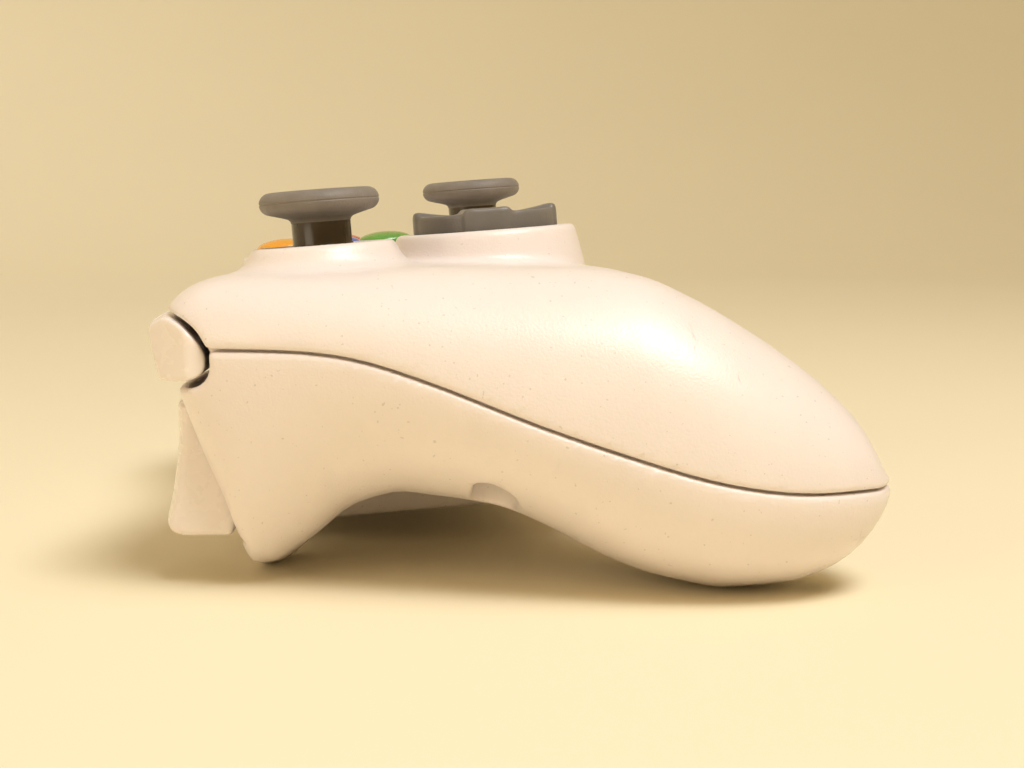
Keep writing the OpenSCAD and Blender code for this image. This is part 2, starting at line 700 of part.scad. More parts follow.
module bay_contacts() {
    color(steel) for (u = [-10, 10])
        on_face(u, pack_y) block([-1.5, -23.5, bay_top - 0.3], [1.5, -20.5, board_bottom]);
}
module motor() {
    difference() {
        post(motor_r, 16, 29);
        post(1 + fit, 24, 30);
    }
}
module motor_weight(r) {
    difference() {
        post(r, 30, 36);
        block([-r - 1, -r - 1, 29], [r + 1, -1.2, 37]);
    }
    post(2.4, 30, 36);
    post(1, 24.5, 36);
}
module left_motor() { color(steel) translate([-motor_x, motor_y, 0]) motor(); }
module right_motor() { color(steel) translate([motor_x, motor_y, 0]) motor(); }
module left_motor_weight() { color(steel) translate([-motor_x, motor_y, 0]) motor_weight(8.5); }
module right_motor_weight() { color(steel) translate([motor_x, motor_y, 0]) motor_weight(6.5); }
module case_screws() {
    color(steel) both_sides() for (s = SCREWS) translate([s[0], s[1], s[2]]) {
        post(head_r, -1.6, 0);
        post(shank_r, 0, 12);
    }
}

// ---- Battery pack ----
cell_u = 7.6;
cell_w = -36.3;
case_top = -27.5;
case_bottom = -39.6;
pack_bottom = -46;
pack_front = 30.6;
module battery_case() {
    color(shade_white) on_face(0, pack_y) difference() {
        block([-18.2, bay_rear + 0.3, case_bottom], [18.2, 28.8, case_top]);
        block([-15.6, -24, case_bottom - 1], [15.6, 27, case_top - 1.2]);
    }
}
module battery_cover() {
    half = pack_w / 2;
    color(white) on_face(0, pack_y) difference() {
        union() {
            slab(-half, pack_w, [
                [bay_rear + 0.2, case_bottom], [bay_rear + 0.2, -44], [bay_rear + 2.2, pack_bottom],
                [pack_front - 2, pack_bottom], [pack_front, -44], [pack_front, case_bottom]]);
            block([-18.2, 28.8, case_bottom - 1], [18.2, pack_front, -29]);
        }
        block([-15.6, -24, pack_bottom + 1.4], [15.6, 27, case_bottom + 1]);
    }
}
module battery_latch() {
    color(shade_white) on_face(0, pack_y) block([-4, pack_front, -36], [4, pack_front + 0.8, -31]);
}
module battery_cells() {
    color("#b08d4a") on_face(0, pack_y) for (u = [-cell_u, cell_u]) translate([u, 0, cell_w])
        along_y(cell_r, 1.5 - cell_l / 2, 1.5 + cell_l / 2);
}
module battery_terminals() {
    color(steel) on_face(0, pack_y) for (u = [-cell_u, cell_u]) translate([u, 0, cell_w]) {
        along_y(3, 1.5 + cell_l / 2, 27);
        along_y(3, -24, 1.5 - cell_l / 2);
    }
}

top_shell();
bottom_shell();
shoulder_bridge();
left_bumper();
right_bumper();
bumper_switches();
left_trigger();
right_trigger();
trigger_pins();
trigger_springs();
trigger_brackets();
trigger_sensors();
left_stick_cap();
left_stick_shaft();
left_stick_frame();
left_stick_arch();
left_stick_rocker();
left_stick_pivot();
left_stick_sensors();
right_stick_cap();
right_stick_shaft();
right_stick_frame();
right_stick_arch();
right_stick_rocker();
right_stick_pivot();
right_stick_sensors();
dpad_disc();
dpad_carrier();
dpad_base();
dpad_membrane();
button_amber();
button_red();
button_blue();
button_green();
face_membrane();
back_button();
start_button();
guide_button();
guide_ring();
menu_membrane();
sync_button();
charge_port();
headset_jack();
main_board();
board_chips();
ring_leds();
bay_contacts();
left_motor();
left_motor_weight();
right_motor();
right_motor_weight();
battery_case();
battery_cover();
battery_latch();
battery_cells();
battery_terminals();
case_screws();
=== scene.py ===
"""Looks of a two-handed wireless gamepad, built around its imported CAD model."""

import json
import math

import bmesh
import bpy
import numpy as np
import openvdb
from mathutils import Matrix, Vector


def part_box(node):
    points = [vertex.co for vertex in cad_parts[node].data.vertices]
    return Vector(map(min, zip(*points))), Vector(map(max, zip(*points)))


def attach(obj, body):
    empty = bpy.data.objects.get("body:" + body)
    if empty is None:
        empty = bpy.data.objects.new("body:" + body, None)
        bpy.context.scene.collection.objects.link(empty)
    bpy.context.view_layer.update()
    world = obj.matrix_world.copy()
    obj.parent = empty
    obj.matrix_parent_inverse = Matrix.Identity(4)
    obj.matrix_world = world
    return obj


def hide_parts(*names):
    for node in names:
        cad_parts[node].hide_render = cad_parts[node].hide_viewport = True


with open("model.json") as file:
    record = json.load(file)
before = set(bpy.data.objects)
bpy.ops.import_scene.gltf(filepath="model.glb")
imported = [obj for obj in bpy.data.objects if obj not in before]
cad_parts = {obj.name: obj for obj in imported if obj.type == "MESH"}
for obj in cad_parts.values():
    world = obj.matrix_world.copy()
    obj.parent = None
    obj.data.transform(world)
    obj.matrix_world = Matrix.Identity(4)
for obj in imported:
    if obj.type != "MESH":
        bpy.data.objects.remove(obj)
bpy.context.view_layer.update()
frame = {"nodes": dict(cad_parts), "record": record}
MM = 0.001

# ---- Driving sizes, in millimetres, the same as in the CAD model ----
FACE_TILT = math.radians(4.3)
FACE_SLOPE = math.tan(FACE_TILT)
RIM_HEIGHT = 51.75
WALL = 2.0
LEFT_STICK = (-39.0, 29.2)
RIGHT_STICK = (20.0, 3.5)
LEFT_CAP_RISE = 8.2
RIGHT_CAP_RISE = 9.0
CAP_R = 9.1
STEM_R = 4.5
SHAFT_R = 1.2
PIVOT_W = -9.5
DPAD = (-20.0, 3.5)
DPAD_PIVOT_W = -7.0
DPAD_TOP = 3.1
DPAD_HOLE_R = 12.75
FACE_GROUP = (39.5, 30.5)
FACE_BUTTON_R = 5.5
BUTTON_RING = 10.0
GUIDE = (0.0, 25.5)
GUIDE_R = 8.5
GUIDE_RING_R = 10.5
MENU = (14.5, 24.0)
MENU_R = 3.25
STICK_POD_R = 10.75
STICK_HOLE_R = 9.5
DPAD_POD_R = 14.65
SCREWS = ((58, 4.3, 20), (60, -41, 9), (25, 19.5, 17))
TRIGGER_X = 44.0
TRIGGER_HALF = 9.5
TRIGGER_PIN = (43.0, 27.5)
HINGE = (19.5, 44.0)
PACK_Y = 15.0
PACK_FRONT = 30.6
PACK_REAR = -25.6
PACK_BOTTOM = -46.0
CASE_TOP = -27.5
CASE_BOTTOM = -39.6
JACK_Z = 30.6
SYNC = (9.5, 34.5)
MOTOR = (57.0, -22.0)

# ---- Sizes of the looks alone, in millimetres ----
RIM_GAP = 0.3
RIM_ROUND = 0.6
WELL_R = 3.1
WELL_WALL_R = 4.6
# How far the mouth of a screw well runs outward, by the screw's X.
WELL_MOUTH = {58: 4.0}
# Room for the motors' weights under the top shell, and for a bumper switch's plunger.
WEIGHT_ROOM_R = 9.2
WEIGHT_ROOM_TOP = 36.8
SWITCH = (54.0, 34.0)
SWITCH_ROOM_R = 1.4
SWITCH_ROOM_FRONT = 45.2
# Grid steps of the shells, and how far flat stretches of their meshes may be thinned.
TOP_STEP, BOTTOM_STEP = ((0.36, 0.43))
THINNING = 0.03

# Plan outline of the right half: front and outer side, then rear and inner side.
FRONT = [(0, 43.5), (13, 44.5), (26, 48.6), (39, 52.2), (50, 53), (58.5, 49.8), (63.5, 41.5),
         (67, 28), (70.5, 12), (74, -6), (76.5, -24), (75, -39), (69.4, -48.6), (61.8, -52.7)]
REAR = [(0, -19), (9, -19), (17, -19.8), (24, -22), (30, -26), (34.5, -30.5), (38, -35),
        (41, -39), (43.8, -42.6), (46.6, -45.8), (49.6, -48.8), (53, -51.2), (56.5, -52.5), (59.8, -52.7)]
# Heights along Y: each pair is a forward position and the height there.
CROWN = [(-52, 21), (-49, 27.3), (-45, 30.6), (-39, 34), (-32, 37.8), (-25, 41.6), (-17.5, 44.9),
         (-10, 46.2), (5, 46.5), (15, 46.4), (41, 45.2), (54, 43.8)]
SEAM = [(-55, 15.1), (-46, 15.8), (-36, 16.2), (-27.5, 17.4), (-19.5, 19.4), (-2.5, 24.9), (13.6, 31),
        (24, 34.1), (34, 35.1), (54, 34.9)]
GRIP = [(-55, 3), (-45, 0.6), (-35, -0.2), (-29, -0.2), (-18, 2), (-11, 4.7), (-4, 8.3), (2, 10.8),
        (7, 11.8), (15, 12.6)]
HORN = [(15, 12.8), (19, 12.6), (25.4, 9.7), (30.2, 4.9), (35.6, 0.4), (37.5, -0.2), (39.4, -0.2),
        (40.4, 1.8), (41.6, 4.8), (43, 9.5), (46, 19.5)]
NOSE = [(38, -6), (42, 9), (46, 19.5), (48.9, 26.9), (50.5, 30), (54, 33.6)]
# How much of the horn there is across the pad: distance from the middle and share.
HORN_SPAN = [(24, 0), (31, 1), (36, 1), (45, 0.85), (55, 0.67), (61, 0.4), (68, 0)]
# Corner radii of the sections along Y, above and below the seam.
TOP_RADIUS = [(-55, 19), (-30, 19), (10, 17), (35, 12), (50, 9)]
BELLY_RADIUS = [(-30, 19), (0, 21), (20, 22), (35, 16), (48, 6)]
BELLY_W = -39.4
# Y and Z outline of the pockets that the bumpers move in.
POCKET = [(43.35, 30.4), (44.55, 29.3), (66, 29.3), (66, 40.3), (48.35, 40.3), (43.35, 35.2)]
# Front of a bumper across the pad: X and Y.
BUMPER_FRONT = [(22, 51.2), (30, 53.4), (44, 54.5), (56, 53.2), (60.6, 52.6)]
# Y and Z outline of a trigger, and of the hollow behind its face.
TRIGGER = [(45.3, 26.9), (49.1, 26.6), (48.9, 22), (49.3, 18), (50.1, 12.6), (51, 8.8), (50.5, 7.8),
           (48.8, 7.3), (42.2, 7.3), (41.2, 9.5), (40.5, 18), (40.4, 27.5), (43, 30.1)]
TRIGGER_HOLLOW = [(47.5, 25), (47.3, 22), (47.7, 18), (48.5, 12.8), (49, 9.2), (30, 9.2), (30, 25)]
# X and Y outline of the bridge between the bumpers.
BRIDGE = [(-21, 50.6), (-13, 48.4), (0, 47.4), (13, 48.4), (21, 50.6),
          (21, 47.6), (13, 45), (0, 44), (-13, 45), (-21, 47.6)]


# ---- Small maths ----
def curve(table, x):
    """Smooth curve through (place, height) pairs, flat past both ends."""
    xs, ys = np.array(table, float).T
    last = len(xs) - 1
    before = np.maximum(np.arange(last + 1) - 1, 0)
    after = np.minimum(np.arange(last + 1) + 1, last)
    slope = (ys[after] - ys[before]) / (xs[after] - xs[before])
    i = np.clip(np.searchsorted(xs, x, side="right") - 1, 0, last - 1)
    h = xs[i + 1] - xs[i]
    t = np.clip((x - xs[i]) / h, 0, 1)
    return ((2 * t**3 - 3 * t**2 + 1) * ys[i] + (t**3 - 2 * t**2 + t) * h * slope[i]
            + (3 * t**2 - 2 * t**3) * ys[i + 1] + (t**3 - t**2) * h * slope[i + 1])


def ease(a, b, x):
    t = np.clip((x - a) / (b - a), 0, 1)
    return t * t * (3 - 2 * t)


def mix(a, b, t):
    return a + (b - a) * t


def join(a, b, k):
    """Union of two distance fields with a fillet of about k."""
    h = np.maximum(k - np.abs(a - b), 0) / k
    return np.minimum(a, b) - h * h * k / 4


def meet(a, b, k):
    """Intersection of two distance fields with an edge rounding of about k."""
    return -join(-a, -b, k)


def meet_all(fields, k):
    """Intersection of several distance fields with one edge rounding."""
    result = fields[0]
    for field in fields[1:]:
        result = meet(result, field, k)
    return result


def cut(a, b, k):
    """a without b, its new edges rounded by about k."""
    return meet(a, -b, k)


def plan_curve(points, per_step=14):
    """Points of the smooth plan curve, mirrored about X = 0 at its start."""
    p = np.array([(-points[1][0], points[1][1]), *points, points[-1]], float)
    out = []
    for i in range(1, len(p) - 2):
        for t in np.linspace(0, 1, per_step, endpoint=False):
            a, b, c, d = p[i - 1:i + 3]
            bend, twist = 2 * a - 5 * b + 4 * c - d, 3 * b - a - 3 * c + d
            out.append(0.5 * (2 * b + (c - a) * t + bend * t**2 + twist * t**3))
    out.append(p[-1])
    return np.array(out)


HALF_OUTLINE = np.concatenate([plan_curve(FRONT), plan_curve(REAR)[::-1]])


def edge_distance(x, y):
    """Distance from plan points to the outline, positive inside, with no crease along the grips."""
    shape = x.shape
    q = np.stack([np.abs(x).ravel(), y.ravel()], 1)
    a, b = HALF_OUTLINE[:-1], HALF_OUTLINE[1:]
    ab = b - a
    length = np.maximum((ab * ab).sum(1), 1e-9)
    nearest = np.empty(len(q))
    soft = np.empty(len(q))
    power = 7
    flat = math.sqrt(math.pi) * math.gamma((power - 1) / 2) / math.gamma(power / 2)
    inside = np.zeros(len(q), bool)
    for s in range(0, len(q), 20000):
        part = q[s:s + 20000]
        rel = part[:, None] - a[None]
        t = np.clip((rel * ab).sum(2) / length, 0, 1)
        d2 = ((rel - ab * t[..., None]) ** 2).sum(2)
        nearest[s:s + 20000] = np.sqrt(d2.min(1))
        weight = (np.sqrt(length) * np.maximum(d2, 0.01) ** (-power / 2)).sum(1)
        soft[s:s + 20000] = (flat / weight) ** (1 / (power - 1))
        above = a[None, :, 1] > part[:, None, 1]
        above_b = b[None, :, 1] > part[:, None, 1]
        rise = np.where(ab[:, 1] == 0, 1e-9, ab[:, 1])
        at = a[:, 0] + (part[:, None, 1] - a[None, :, 1]) / rise * ab[:, 0]
        inside[s:s + 20000] = ((above != above_b) & (part[:, None, 0] < at)).sum(1) % 2 == 1
    d = mix(nearest, soft, ease(3, 9, nearest))
    return np.where(inside, d, -nearest).reshape(shape).astype(np.float32)


# ---- Distance fields on a grid, and meshes from them ----
class Field:
    """A block of space with one distance value, in millimetres, at each grid point."""

    def __init__(self, low, high, step):
        self.low = np.array(low, float)
        self.step = step
        counts = [int(math.ceil((h - l) / step)) + 1 for l, h in zip(low, high)]
        axes = [(l + step * np.arange(n)).astype(np.float32) for l, n in zip(low, counts)]
        self.x = axes[0][:, None, None]
        self.y = axes[1][None, :, None]
        self.z = axes[2][None, None, :]

    def face(self, place):
        """Across, along and up from the rim plane of the control face, about a plan point."""
        y0 = self.y - place[1]
        z0 = self.z - (RIM_HEIGHT - FACE_SLOPE * place[1])
        v = y0 * math.cos(FACE_TILT) - z0 * math.sin(FACE_TILT)
        w = y0 * math.sin(FACE_TILT) + z0 * math.cos(FACE_TILT)
        return self.x - place[0], v, w

    def box(self, low, high, r=0.0):
        """Distance to a box with its edges rounded by r."""
        return box_between((self.x, self.y, self.z), low, high, r)

    def mesh(self, name, values, adaptivity=0.0):
        """Closed mesh of the zero surface, in metres, shaded by the field's own gradient."""
        band = 3 * self.step
        grid = openvdb.FloatGrid(background=band)
        grid.copyFromArray(np.clip(values, -band, band).astype(np.float32))
        points, tris, quads = largest_part(*grid.convertToPolygons(isovalue=0.0, adaptivity=adaptivity))
        normals = gradient_at(values, points)
        points = points * self.step + self.low
        return build_mesh(name, points * MM, tris, quads, normals)


def largest_part(points, tris, quads):
    """Only the largest connected part of a mesh, without the crumbs that a grid leaves beside thin walls."""
    label = np.arange(len(points))
    groups = [faces.astype(np.int64) for faces in (tris, quads)]
    while True:
        lower = label.copy()
        for faces in groups:
            if len(faces):
                least = label[faces].min(axis=1)
                for corner in faces.T:
                    np.minimum.at(lower, corner, least)
        lower = lower[lower]
        if (lower == label).all():
            break
        label = lower
    keep = label == np.bincount(label).argmax()
    index = np.cumsum(keep) - 1
    return [points[keep]] + [index[faces[keep[faces].all(axis=1)]] for faces in groups]


def box_between(coordinates, low, high, r=0.0):
    """Distance to the box between two corners, given in any three coordinates."""
    parts = [np.abs(c - (a + b) / 2) - (b - a) / 2 + r for c, a, b in zip(coordinates, low, high)]
    return box_distance(parts) - r


def box_distance(parts):
    outside = np.sqrt(sum(np.maximum(p, 0) ** 2 for p in parts))
    inside = np.minimum(np.maximum(np.maximum(parts[0], parts[1]), parts[2]), 0)
    return outside + inside


def gradient_at(values, points):
    """Unit gradient of the grid at points given in grid steps."""
    top = np.array(values.shape) - 2
    def sample(p):
        i = np.clip(np.floor(p).astype(int), 0, top)
        t = p - i
        out = 0
        for cx in (0, 1):
            for cy in (0, 1):
                for cz in (0, 1):
                    wx = t[:, 0] if cx else 1 - t[:, 0]
                    wy = t[:, 1] if cy else 1 - t[:, 1]
                    wz = t[:, 2] if cz else 1 - t[:, 2]
                    out = out + wx * wy * wz * values[i[:, 0] + cx, i[:, 1] + cy, i[:, 2] + cz]
        return out
    g = np.empty((len(points), 3))
    for axis in range(3):
        e = np.zeros(3)
        e[axis] = 0.6
        g[:, axis] = sample(points + e) - sample(points - e)
    return g / np.maximum(np.linalg.norm(g, axis=1), 1e-9)[:, None]


def field_around(node, step, margin=1.2):
    """A field over the space of one CAD node."""
    low, high = (np.array(corner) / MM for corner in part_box(node))
    return Field(low - margin, high + margin, step)


def polygon_field(a, b, corners):
    """Signed distance to any closed outline in two coordinates."""
    p = np.array(corners, float)
    best, crossings = np.inf, False
    for (ax, ay), (bx, by) in zip(p, np.roll(p, -1, axis=0)):
        dx, dy = bx - ax, by - ay
        t = np.clip(((a - ax) * dx + (b - ay) * dy) / (dx * dx + dy * dy), 0, 1)
        best = np.minimum(best, np.hypot(a - ax - t * dx, b - ay - t * dy))
        level = dy if dy else 1e-9
        crossings = crossings ^ (((ay > b) != (by > b)) & (a < ax + (b - ay) / level * dx))
    return np.where(crossings, -best, best)


def rounded_outline(a, b, corners, r):
    """Distance to a convex outline in two coordinates, given anticlockwise, with corners rounded by r."""
    p = np.array(corners, float)
    walls = []
    for start, end in zip(p, np.roll(p, -1, axis=0)):
        along = (end - start) / np.linalg.norm(end - start)
        walls.append((a - start[0]) * along[1] - (b - start[1]) * along[0])
    return meet_all(walls, r)


def soften(values, times):
    """Rounds every edge a little, by averaging each grid point with its neighbours."""
    for _ in range(times):
        for axis in range(3):
            v = np.moveaxis(values, axis, 0)
            inner = 0.25 * v[:-2] + 0.5 * v[1:-1] + 0.25 * v[2:]
            values = np.moveaxis(np.concatenate([v[:1], inner, v[-1:]]), 0, axis)
    return values


def build_mesh(name, points, tris, quads, normals=None):
    """Mesh object from numpy points and faces, turned outward and smooth."""
    mesh = bpy.data.meshes.new(name)
    corner = np.concatenate([np.asarray(tris).reshape(-1), np.asarray(quads).reshape(-1)]).astype(np.int32)
    sizes = np.concatenate([np.full(len(tris), 3), np.full(len(quads), 4)]).astype(np.int32)
    starts = np.concatenate([[0], np.cumsum(sizes)[:-1]]).astype(np.int32)
    mesh.vertices.add(len(points))
    mesh.vertices.foreach_set("co", points.astype(np.float32).ravel())
    mesh.loops.add(len(corner))
    mesh.loops.foreach_set("vertex_index", corner)
    mesh.polygons.add(len(sizes))
    mesh.polygons.foreach_set("loop_start", starts)
    mesh.update(calc_edges=True)
    mesh.validate()
    if normals is not None:
        facing = np.empty(len(mesh.polygons) * 3, np.float32)
        mesh.polygons.foreach_get("normal", facing)
        first = np.empty(len(mesh.polygons), np.int32)
        mesh.polygons.foreach_get("loop_start", first)
        vertex = np.empty(len(mesh.loops), np.int32)
        mesh.loops.foreach_get("vertex_index", vertex)
        if (facing.reshape(-1, 3) * normals[vertex[first]]).sum() < 0:
            mesh.flip_normals()
        mesh.polygons.foreach_set("use_smooth", np.ones(len(mesh.polygons), bool))
        mesh.normals_split_custom_set_from_vertices(normals.astype(np.float32))
    return mesh


def piece(name, mesh, material, body, slot, *nodes):
    """Puts a mesh in the scene on its CAD body, in place of the CAD nodes."""
    obj = bpy.data.objects.new(name, mesh)
    bpy.context.collection.objects.link(obj)
    obj.data.materials.append(material)
    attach(obj, body)
    if nodes:
        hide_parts(*nodes)
    return obj


def arc(centre, r, start, end, count):
    """Points of a circular arc, as distance from the axis and height. Angles are in degrees."""
    return [(centre[0] + r * math.cos(math.radians(a)), centre[1] + r * math.sin(math.radians(a)))
            for a in np.linspace(start, end, count)]


def revolve(name, profile, turns=72, place=None):
    """Closed solid from an outline of (radius, height) turned about Z, put in its place and shaded smooth."""
    bm = bmesh.new()
    rings = []
    for r, h in profile:
        if r < 1e-6:
            rings.append([bm.verts.new((0, 0, h * MM))] * turns)
        else:
            angles = [2 * math.pi * k / turns for k in range(turns)]
            rings.append([bm.verts.new((r * MM * math.cos(a), r * MM * math.sin(a), h * MM)) for a in angles])
    closed = zip(rings, rings[1:] + rings[:1])
    for low, high in closed:
        for k in range(turns):
            n = (k + 1) % turns
            corners = list(dict.fromkeys((low[k], low[n], high[n], high[k])))
            if len(corners) > 2:
                bm.faces.new(corners)
    bmesh.ops.recalc_face_normals(bm, faces=bm.faces)
    if place is not None:
        bmesh.ops.transform(bm, matrix=place, verts=bm.verts)
    mesh = bpy.data.meshes.new(name)
    bm.to_mesh(mesh)
    bm.free()
    mesh.polygons.foreach_set("use_smooth", [True] * len(mesh.polygons))
    mesh.set_sharp_from_angle(angle=math.radians(38))
    return mesh


def on_face(place, w=0.0):
    """Matrix from the control face's frame at a plan point, raised by w, to the pad's frame."""
    rim = Matrix.Translation((place[0] * MM, place[1] * MM, (RIM_HEIGHT - FACE_SLOPE * place[1]) * MM))
    return rim @ Matrix.Rotation(-FACE_TILT, 4, "X") @ Matrix.Translation((0, 0, w * MM))


# ---- Materials ----
def material(name, color, rough, *, vary=0.04, vary_scale=120, grain=0.0, grain_scale=2500,
             rough_vary=0.08, specks=0.0, metallic=0.0, coat=0.0, sheen=0.0, subsurface=0.0,
             stretch=(1, 1, 1)):
    """Moulded or machined surface: soft colour variation, uneven gloss and a fine grain as bump. On the stem
    the colour variation, stretched upright, is painted highlight.
    """
    m = bpy.data.materials.new(name)
    m.use_nodes = True
    nodes, links = m.node_tree.nodes, m.node_tree.links
    shader = nodes["Principled BSDF"]
    shader.inputs["Metallic"].default_value = metallic
    shader.inputs["Coat Weight"].default_value = coat
    shader.inputs["Coat Roughness"].default_value = 0.25
    shader.inputs["Sheen Weight"].default_value = sheen
    shader.inputs["Subsurface Weight"].default_value = subsurface
    shader.inputs["Subsurface Radius"].default_value = (0.0012, 0.0009, 0.0006)
    shader.inputs["Subsurface Scale"].default_value = 1.0
    place = nodes.new("ShaderNodeTexCoord")
    mapping = nodes.new("ShaderNodeMapping")
    mapping.inputs["Scale"].default_value = stretch
    links.new(place.outputs["Object"], mapping.inputs["Vector"])

    def noise(scale, detail):
        n = nodes.new("ShaderNodeTexNoise")
        n.inputs["Scale"].default_value = scale
        n.inputs["Detail"].default_value = detail
        links.new(mapping.outputs["Vector"], n.inputs["Vector"])
        return n.outputs["Fac"]

    def ramp(source, low, high, at=(0.3, 0.7)):
        r = nodes.new("ShaderNodeValToRGB")
        r.color_ramp.elements[0].position, r.color_ramp.elements[1].position = at
        r.color_ramp.elements[0].color = (*low, 1)
        r.color_ramp.elements[1].color = (*high, 1)
        links.new(source, r.inputs["Fac"])
        return r.outputs["Color"]

    dark = tuple(c * (1 - vary) for c in color)
    light = tuple(min(1, c * (1 + vary)) for c in color)
    tint = ramp(noise(vary_scale, 3), dark, light)
    if specks:
        fleck = ramp(noise(grain_scale * 0.55, 1), (1, 1, 1), (1 - specks,) * 3, at=(0.735, 0.76))
        blend = nodes.new("ShaderNodeMix")
        blend.data_type = "RGBA"
        blend.blend_type = "MULTIPLY"
        blend.inputs["Factor"].default_value = 1
        links.new(tint, blend.inputs[6])
        links.new(fleck, blend.inputs[7])
        tint = blend.outputs[2]
    links.new(tint, shader.inputs["Base Color"])
    low, high = max(rough - rough_vary, 0.03), min(rough + rough_vary, 1)
    gloss = ramp(noise(vary_scale * 2.7, 4), (low,) * 3, (high,) * 3)
    links.new(gloss, shader.inputs["Roughness"])
    if grain:
        bump = nodes.new("ShaderNodeBump")
        bump.inputs["Strength"].default_value = grain
        bump.inputs["Distance"].default_value = 0.00008
        links.new(noise(grain_scale, 2), bump.inputs["Height"])
        links.new(bump.outputs["Normal"], shader.inputs["Normal"])
    return m


WHITE = material("white_plastic", (0.90, 0.805, 0.765), 0.33, vary=0.012, grain=0.6, grain_scale=2600,
                 rough_vary=0.05, specks=0.18, coat=0.15, subsurface=0.12)
TRIM = material("trim_plastic", (0.92, 0.825, 0.78), 0.26, vary=0.015, grain=0.12, rough_vary=0.05, coat=0.25,
                subsurface=0.12)
CAP = material("stick_rubber", (0.222, 0.190, 0.162), 0.55, vary=0.10, vary_scale=300, grain=0.7,
               grain_scale=3800, sheen=0.08)
# The stem's colour varies in upright streaks that are painted highlights: faint vertical glints painted into
# its dark colour.
STEM = material("stem_plastic", (0.045, 0.027, 0.012), 0.2, vary=0.18, grain=0.2, grain_scale=900, coat=0.3,
                stretch=(1, 1, 0.08))
DPAD_GREY = material("dpad_plastic", (0.180, 0.162, 0.146), 0.36, vary=0.08, grain=0.5, grain_scale=3200,
                     coat=0.15)
DARK = material("dark_plastic", (0.03, 0.027, 0.025), 0.5, vary=0.15, grain=0.5)
STEEL = material("steel", (0.62, 0.62, 0.61), 0.3, vary=0.06, grain=0.4, grain_scale=1800, metallic=1.0,
                 stretch=(1, 1, 0.1))
SILVER = material("silver_plastic", (0.60, 0.59, 0.57), 0.24, vary=0.03, grain=0.15, metallic=0.75, coat=0.3)
BOARD = material("board_green", (0.03, 0.16, 0.08), 0.38, vary=0.25, vary_scale=700, grain=0.5,
                 grain_scale=700)
SILICONE = material("silicone", (0.55, 0.52, 0.47), 0.5, vary=0.05, grain=0.4, subsurface=0.3)
LED = material("led_lens", (0.42, 0.70, 0.24), 0.25, vary=0.08, grain=0.2, coat=0.4, subsurface=0.3)
CELL = material("cell_wrap", (0.46, 0.31, 0.13), 0.3, vary=0.08, grain=0.2, metallic=0.5, coat=0.4)
BUTTON_COLORS = {"amber": (0.85, 0.36, 0.02), "red": (0.55, 0.04, 0.03), "blue": (0.04, 0.12, 0.50),
                 "green": (0.13, 0.34, 0.05)}
BUTTONS = {k: material(f"button_{k}", c, 0.14, vary=0.06, grain=0.08, rough_vary=0.03, coat=0.6,
                       subsurface=0.1) for k, c in BUTTON_COLORS.items()}


# ---- The two shells ----
def body_field(f):
    """Closed outer form of both shells as a field, with the height of the seam on the same grid."""
    x, y = np.broadcast_arrays(f.x[:, :, 0], f.y[:, :, 0])
    d = edge_distance(x, y)
    side = np.abs(x)
    seam = mix(32.5, curve(SEAM, y), ease(14, 46, side)).astype(np.float32)
    belly = RIM_HEIGHT + BELLY_W / math.cos(FACE_TILT) - FACE_SLOPE * y
    base = mix(belly, curve(GRIP, y), ease(24, 42, side))
    in_horn = np.where(y > 15, curve(HORN_SPAN, side), 0)
    under = np.maximum(np.maximum(mix(base, curve(HORN, y), in_horn), curve(NOSE, y)), 0)

    def half(height, radius, sign):
        """Quarter-round section from the outline's edge at the seam to the full height."""
        tall = (sign * (height - seam))[:, :, None].astype(np.float32)
        r = radius[:, :, None].astype(np.float32)
        u = np.maximum(r - d[:, :, None], 0) / r
        h = np.maximum(sign * (f.z - seam[:, :, None]), 0) / tall
        q = np.sqrt(u * u + h * h) + 1e-6
        return (q - 1) * q / np.sqrt((u / r) ** 2 + (h / tall) ** 2 + 1e-9)

    above = f.z > seam[:, :, None]
    upper = half(curve(CROWN, y), curve(TOP_RADIUS, y), 1)
    lower = half(under, curve(BELLY_RADIUS, y), -1)
    return np.where(above, upper, lower).astype(np.float32), seam[:, :, None]


def unit_slope(values, step):
    """The field divided by its own slope, so that it measures true distance near its surface.

    The slope is held under 2, because deep inside the two halves differ at the seam, and dividing by
    that jump would bring deep values up into the wall.
    """
    total = np.zeros_like(values)
    for axis in range(3):
        total += np.gradient(values, step, axis=axis) ** 2
    return values / np.clip(np.sqrt(total), 0.6, 2)


def shell_openings(f, shell):
    """Cuts what both shells share: bumper pockets, ports and the headset socket."""
    side = np.abs(f.x)
    pocket = np.maximum(rounded_outline(f.y, f.z, POCKET, 3.4), 21.9 - side)
    hinge = box_between((side, f.y, f.z), (16.5, 41.2, 28.6), (23, 62, 40.15))
    shell = cut(shell, np.minimum(pocket, hinge), 0.5)
    port = f.box((-4.8, 38, 31), (4.8, 52, 36.2), 0.6)
    sync = np.maximum(np.hypot(f.x - SYNC[0], f.z - SYNC[1]) - 3, 39 - f.y)
    shell = cut(shell, np.minimum(port, sync), 0.3)
    jack = np.maximum(np.hypot(f.x, f.z - JACK_Z) - 2.6, f.y + 14)
    shell = cut(shell, jack, 0.6)
    slots = box_between((side, f.y, f.z), (5.4, -23, JACK_Z - 0.6), (7.6, -15, JACK_Z + 0.6), 0.3)
    return cut(shell, slots, 0.3)


def cone(f, place, r, draft, top=0.0):
    """A pod: a drafted round boss whose rim lies in the control face."""
    u, v, w = f.face(place)
    side = (np.hypot(u, v) - (r - draft * w)) / math.hypot(1, draft)
    return meet(side, w - top, 1.1)


def face_hole(f, place, r):
    u, v, w = f.face(place)
    return np.maximum(np.hypot(u, v) - r, -9 - w)


